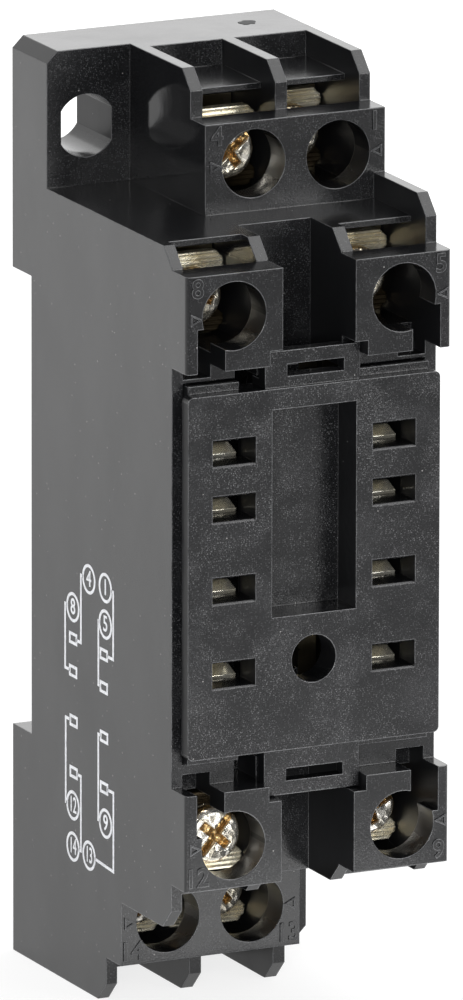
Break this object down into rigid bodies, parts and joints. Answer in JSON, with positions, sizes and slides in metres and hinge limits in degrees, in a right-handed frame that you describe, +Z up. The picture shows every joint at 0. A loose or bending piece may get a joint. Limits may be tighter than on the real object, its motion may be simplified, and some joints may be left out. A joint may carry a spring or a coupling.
{
  "type": "relay socket",
  "caption": "Slim plug-in relay socket with screw clamp terminals on two levels, mounted on a 35 mm rail or by two screws.",
  "frame": {"origin": "middle of the back face, at half height, where the 35 mm rail lies in its slot", "axes": "+X right seen from the front, -Y out of the front, +Z up along the long side"},
  "size_m": [0.022, 0.031, 0.072],
  "materials": {
    "black_moulding": "satin",
    "nickel_steel": "polished",
    "clamp_brass": "satin",
    "contact_brass": "satin",
    "spring_steel": "satin"
  },
  "bodies": {
    "housing": {"base_housing": "black_moulding", "relay_plate": "black_moulding", "rail_spring_left": "spring_steel", "rail_spring_right": "spring_steel", "terminal_strip_1": "contact_brass", "terminal_strip_4": "contact_brass", "terminal_strip_5": "contact_brass", "terminal_strip_8": "contact_brass", "terminal_strip_9": "contact_brass", "terminal_strip_12": "contact_brass", "terminal_strip_13": "contact_brass", "terminal_strip_14": "contact_brass", "blade_contact_1": "contact_brass", "blade_contact_4": "contact_brass", "blade_contact_5": "contact_brass", "blade_contact_8": "contact_brass", "blade_contact_9": "contact_brass", "blade_contact_12": "contact_brass", "blade_contact_13": "contact_brass", "blade_contact_14": "contact_brass"},
    "catch": {"rail_slider": "black_moulding"},
    "clamp_1": {"terminal_clamp_1": "clamp_brass"},
    "screw_1": {"terminal_screw_1": "nickel_steel"},
    "clamp_4": {"terminal_clamp_4": "clamp_brass"},
    "screw_4": {"terminal_screw_4": "nickel_steel"},
    "clamp_5": {"terminal_clamp_5": "clamp_brass"},
    "screw_5": {"terminal_screw_5": "nickel_steel"},
    "clamp_8": {"terminal_clamp_8": "clamp_brass"},
    "screw_8": {"terminal_screw_8": "nickel_steel"},
    "clamp_9": {"terminal_clamp_9": "clamp_brass"},
    "screw_9": {"terminal_screw_9": "nickel_steel"},
    "clamp_12": {"terminal_clamp_12": "clamp_brass"},
    "screw_12": {"terminal_screw_12": "nickel_steel"},
    "clamp_13": {"terminal_clamp_13": "clamp_brass"},
    "screw_13": {"terminal_screw_13": "nickel_steel"},
    "clamp_14": {"terminal_clamp_14": "clamp_brass"},
    "screw_14": {"terminal_screw_14": "nickel_steel"}
  },
  "joints": [
    {"name": "catch_slide", "type": "slide", "parent": "housing", "child": "catch", "axis": [0, 0, -1], "range_m": [0, 0.0024], "stiffness_N_per_m": 2000, "springref_m": -0.003, "deforming": ["rail_spring_left", "rail_spring_right"]},
    {"name": "clamp_1_lift", "type": "slide", "parent": "housing", "child": "clamp_1", "axis": [0, -1, 0], "range_m": [0, 0.0046]},
    {"name": "screw_1_turn", "type": "hinge", "parent": "clamp_1", "child": "screw_1", "pos_m": [0.00707, -0.0195, 0.0291], "axis": [0, -1, 0], "range_deg": [-0.01, 3312.01]},
    {"name": "clamp_4_lift", "type": "slide", "parent": "housing", "child": "clamp_4", "axis": [0, -1, 0], "range_m": [-0.0032, 0.0014]},
    {"name": "screw_4_turn", "type": "hinge", "parent": "clamp_4", "child": "screw_4", "pos_m": [0, -0.0195, 0.0291], "axis": [0, -1, 0], "range_deg": [-2304.01, 1008.01]},
    {"name": "clamp_5_lift", "type": "slide", "parent": "housing", "child": "clamp_5", "axis": [0, -1, 0], "range_m": [-0.0001, 0.0045]},
    {"name": "screw_5_turn", "type": "hinge", "parent": "clamp_5", "child": "screw_5", "pos_m": [0.00707, -0.031, 0.0205], "axis": [0, -1, 0], "range_deg": [-72.01, 3240.01]},
    {"name": "clamp_8_lift", "type": "slide", "parent": "housing", "child": "clamp_8", "axis": [0, -1, 0], "range_m": [-0.001, 0.0036]},
    {"name": "screw_8_turn", "type": "hinge", "parent": "clamp_8", "child": "screw_8", "pos_m": [-0.00707, -0.031, 0.0205], "axis": [0, -1, 0], "range_deg": [-720.01, 2592.01]},
    {"name": "clamp_9_lift", "type": "slide", "parent": "housing", "child": "clamp_9", "axis": [0, -1, 0], "range_m": [-0.002, 0.0026]},
    {"name": "screw_9_turn", "type": "hinge", "parent": "clamp_9", "child": "screw_9", "pos_m": [0.00707, -0.031, -0.0205], "axis": [0, -1, 0], "range_deg": [-1440.01, 1872.01]},
    {"name": "clamp_12_lift", "type": "slide", "parent": "housing", "child": "clamp_12", "axis": [0, -1, 0], "range_m": [-0.0044, 0.0002]},
    {"name": "screw_12_turn", "type": "hinge", "parent": "clamp_12", "child": "screw_12", "pos_m": [-0.00707, -0.031, -0.0205], "axis": [0, -1, 0], "range_deg": [-3168.01, 144.01]},
    {"name": "clamp_13_lift", "type": "slide", "parent": "housing", "child": "clamp_13", "axis": [0, -1, 0], "range_m": [-0.0017, 0.0029]},
    {"name": "screw_13_turn", "type": "hinge", "parent": "clamp_13", "child": "screw_13", "pos_m": [0, -0.0195, -0.0291], "axis": [0, -1, 0], "range_deg": [-1224.01, 2088.01]},
    {"name": "clamp_14_lift", "type": "slide", "parent": "housing", "child": "clamp_14", "axis": [0, -1, 0], "range_m": [-0.0015, 0.0031]},
    {"name": "screw_14_turn", "type": "hinge", "parent": "clamp_14", "child": "screw_14", "pos_m": [-0.00707, -0.0195, -0.0291], "axis": [0, -1, 0], "range_deg": [-1080.01, 2232.01]}
  ],
  "couplings": [
    {"joint": "screw_1_turn", "follows": "clamp_1_lift", "rad_per_m": 12566},
    {"joint": "screw_4_turn", "follows": "clamp_4_lift", "rad_per_m": 12566},
    {"joint": "screw_5_turn", "follows": "clamp_5_lift", "rad_per_m": 12566},
    {"joint": "screw_8_turn", "follows": "clamp_8_lift", "rad_per_m": 12566},
    {"joint": "screw_9_turn", "follows": "clamp_9_lift", "rad_per_m": 12566},
    {"joint": "screw_12_turn", "follows": "clamp_12_lift", "rad_per_m": 12566},
    {"joint": "screw_13_turn", "follows": "clamp_13_lift", "rad_per_m": 12566},
    {"joint": "screw_14_turn", "follows": "clamp_14_lift", "rad_per_m": 12566}
  ]
}
